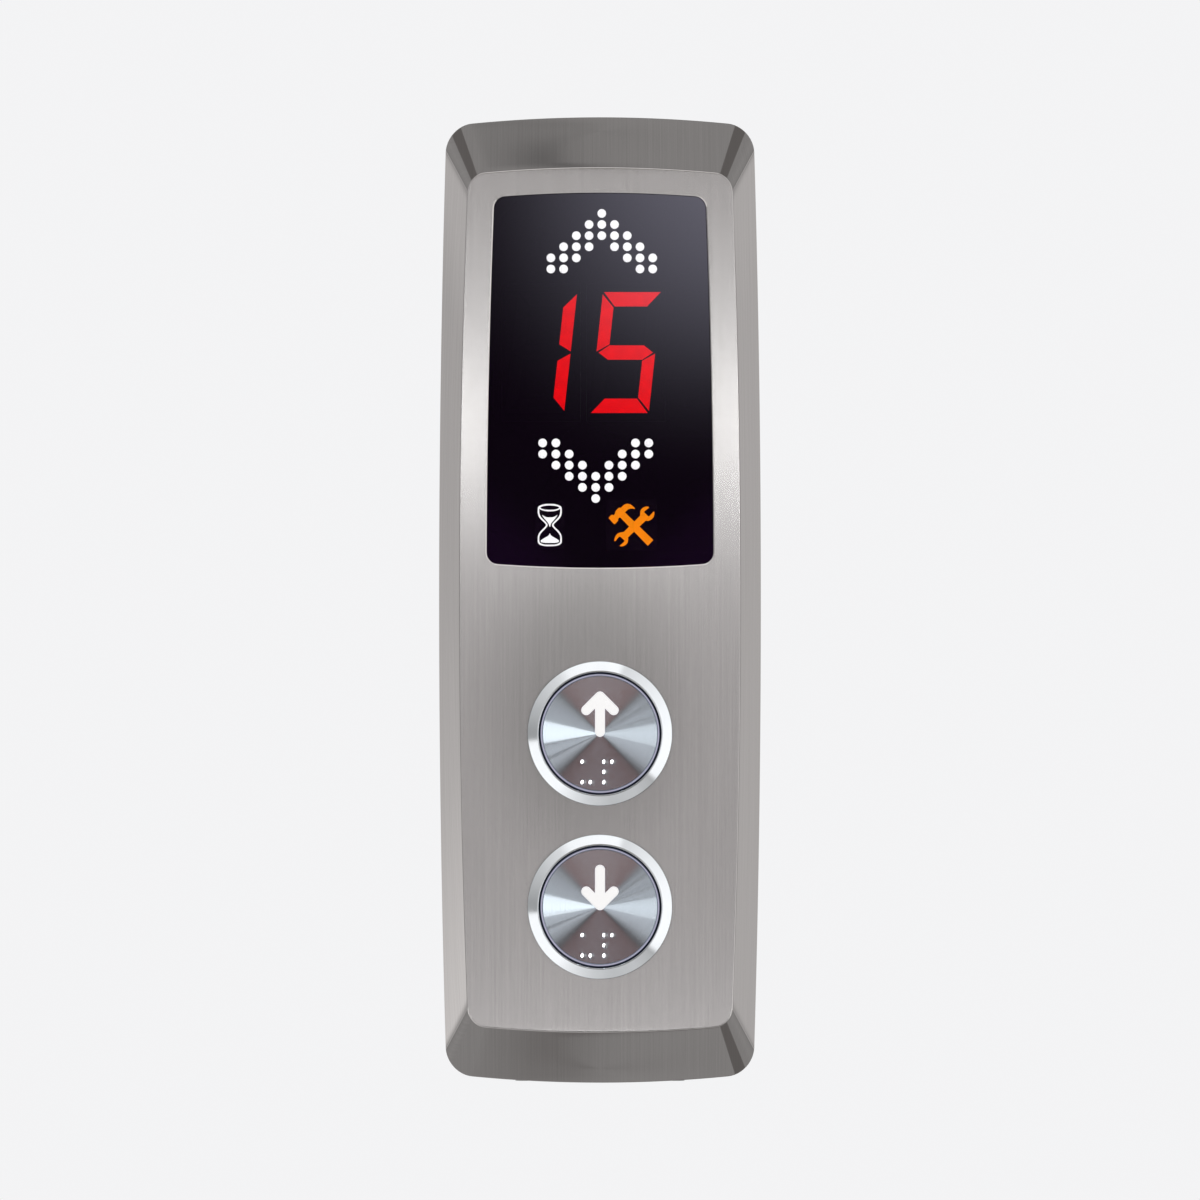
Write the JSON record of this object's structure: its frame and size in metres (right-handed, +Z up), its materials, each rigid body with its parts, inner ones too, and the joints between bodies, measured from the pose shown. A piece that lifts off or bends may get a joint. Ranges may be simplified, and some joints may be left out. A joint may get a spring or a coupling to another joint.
{
  "type": "lift landing call station",
  "caption": "Slim wall-mounted steel faceplate with a tinted floor display above two round sprung push buttons, hung on a flat back plate.",
  "frame": {"origin": "middle of the panel in the wall plane, on the back of the back plate", "axes": "+Z up the panel, +X to the viewer's right, +Y into the wall, so the front faces -Y"},
  "size_m": [0.09, 0.0224, 0.27],
  "materials": {
    "brushed_faceplate": "vertical hairline brushed stainless with polished bevels",
    "back_sheet": "plain zinc plated sheet",
    "polished_bezel": "polished turned steel",
    "spun_cap": "circular brushed stainless",
    "steel_fasteners": "bright machined steel",
    "earth_brass": "bright brass",
    "smoked_lens": "gloss smoked acrylic",
    "black_rubber": "satin black rubber",
    "black_tape": "matt black foam tape",
    "mask_black": "matt black moulding",
    "dark_bars": "unlit smoke tinted bars",
    "housing_black": "black glass filled moulding",
    "white_light": "lit white light pipe",
    "red_light": "lit red light pipe",
    "orange_light": "lit orange inlay",
    "white_insert": "white translucent insert",
    "halo_clear": "lavender tinted translucent moulding",
    "led_package": "yellow filled LED package",
    "board_green": "green solder mask on glass epoxy",
    "can_aluminium": "bright sleeve-less can",
    "terminal_green": "green nylon moulding",
    "connector_ivory": "natural nylon moulding",
    "plunger_red": "red acetal",
    "wire_red": "red insulated wire",
    "wire_blue": "blue insulated wire"
  },
  "bodies": {
    "panel": {"faceplate": "brushed_faceplate", "welded_fittings": "steel_fasteners", "back_plate": "back_sheet", "cable_grommet": "black_rubber", "cover_screws": "steel_fasteners", "earth_stud": "earth_brass", "earth_nut": "earth_brass", "window_lens": "smoked_lens", "window_tape": "black_tape", "light_mask": "mask_black", "up_arrow_dots": "white_light", "down_arrow_dots": "white_light", "tens_digit_case": "mask_black", "tens_digit_lit": "red_light", "tens_digit_dark": "dark_bars", "units_digit_case": "mask_black", "units_digit_lit": "red_light", "units_digit_dark": "dark_bars", "digit_pins": "steel_fasteners", "hourglass_icon": "white_light", "tools_icon": "orange_light", "control_board": "board_green", "board_nuts": "steel_fasteners", "processor": "housing_black", "driver_chips": "housing_black", "capacitors": "can_aluminium", "cable_terminal": "terminal_green", "button_sockets": "connector_ivory", "harness_plugs": "connector_ivory", "up_bezel": "polished_bezel", "up_gasket": "black_rubber", "up_clamp_nut": "steel_fasteners", "up_spring": "steel_fasteners", "up_housing": "housing_black", "up_board": "board_green", "up_switch": "housing_black", "up_leds": "led_package", "up_connector": "connector_ivory", "up_harness": "wire_red", "down_bezel": "polished_bezel", "down_gasket": "black_rubber", "down_clamp_nut": "steel_fasteners", "down_spring": "steel_fasteners", "down_housing": "housing_black", "down_board": "board_green", "down_switch": "housing_black", "down_leds": "led_package", "down_connector": "connector_ivory", "down_harness": "wire_blue", "display_leds": "led_package"},
    "up_button": {"up_cap": "spun_cap", "up_arrow": "white_insert", "up_braille": "spun_cap", "up_halo": "halo_clear"},
    "up_switch_plunger": {"up_plunger": "plunger_red"},
    "down_button": {"down_cap": "spun_cap", "down_arrow": "white_insert", "down_braille": "spun_cap", "down_halo": "halo_clear"},
    "down_switch_plunger": {"down_plunger": "plunger_red"}
  },
  "joints": [
    {"name": "up_press", "type": "slide", "parent": "panel", "child": "up_button", "axis": [0, 1, 0], "range_m": [0, 0.0015], "stiffness_N_per_m": 800, "springref_m": -0.002, "deforming": ["up_spring"]},
    {"name": "up_plunger_slide", "type": "slide", "parent": "panel", "child": "up_switch_plunger", "axis": [0, 1, 0], "range_m": [0, 0.0015]},
    {"name": "down_press", "type": "slide", "parent": "panel", "child": "down_button", "axis": [0, 1, 0], "range_m": [0, 0.0015], "stiffness_N_per_m": 800, "springref_m": -0.002, "deforming": ["down_spring"]},
    {"name": "down_plunger_slide", "type": "slide", "parent": "panel", "child": "down_switch_plunger", "axis": [0, 1, 0], "range_m": [0, 0.0015]}
  ],
  "couplings": [
    {"joint": "up_plunger_slide", "follows": "up_press", "ratio": 1},
    {"joint": "down_plunger_slide", "follows": "down_press", "ratio": 1}
  ]
}
